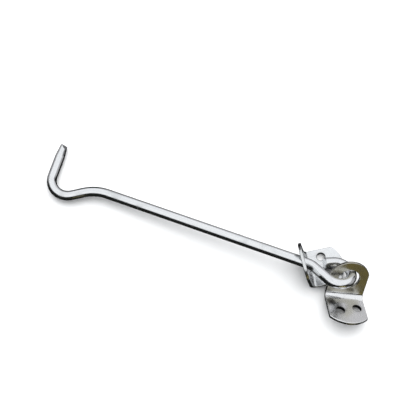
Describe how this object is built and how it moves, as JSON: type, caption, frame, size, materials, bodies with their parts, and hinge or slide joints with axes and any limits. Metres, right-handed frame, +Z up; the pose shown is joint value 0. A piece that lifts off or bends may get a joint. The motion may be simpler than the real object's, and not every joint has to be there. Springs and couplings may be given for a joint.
{
  "type": "cabin hook",
  "caption": "Cabin hook (gate hook): a bent wire rod with a closed eye and a cranked hook, threaded through two bent screw plates.",
  "frame": {"origin": "bottom centre of the set's bounding box, on the surface it lies on", "axes": "+X along the shaft from the hook to the eye, +Y the way the hook's leg points, +Z up from the surface the set lies on"},
  "size_m": [0.2112, 0.0474, 0.0254],
  "materials": {
    "wire": "bright drawn and zinc plated",
    "pivot_sheet": "bright rolled and zinc plated",
    "keeper_sheet": "bright rolled and zinc plated"
  },
  "bodies": {
    "pivot_plate": {"pivot_plate": "pivot_sheet"},
    "hook_rod": {"hook_rod": "wire"},
    "keeper_plate": {"keeper_plate": "keeper_sheet"}
  },
  "joints": [
    {"name": "hook_swing", "type": "hinge", "parent": "pivot_plate", "child": "hook_rod", "pos_m": [0.08111, 0.00286, 0.01378], "axis": [-0.05, 0.4602, 0.8864], "range_deg": [-35, 31]},
    {"name": "keeper_slide", "type": "slide", "parent": "hook_rod", "child": "keeper_plate", "axis": [-0.9984, 0, -0.0563], "range_m": [0, 0.122]}
  ]
}
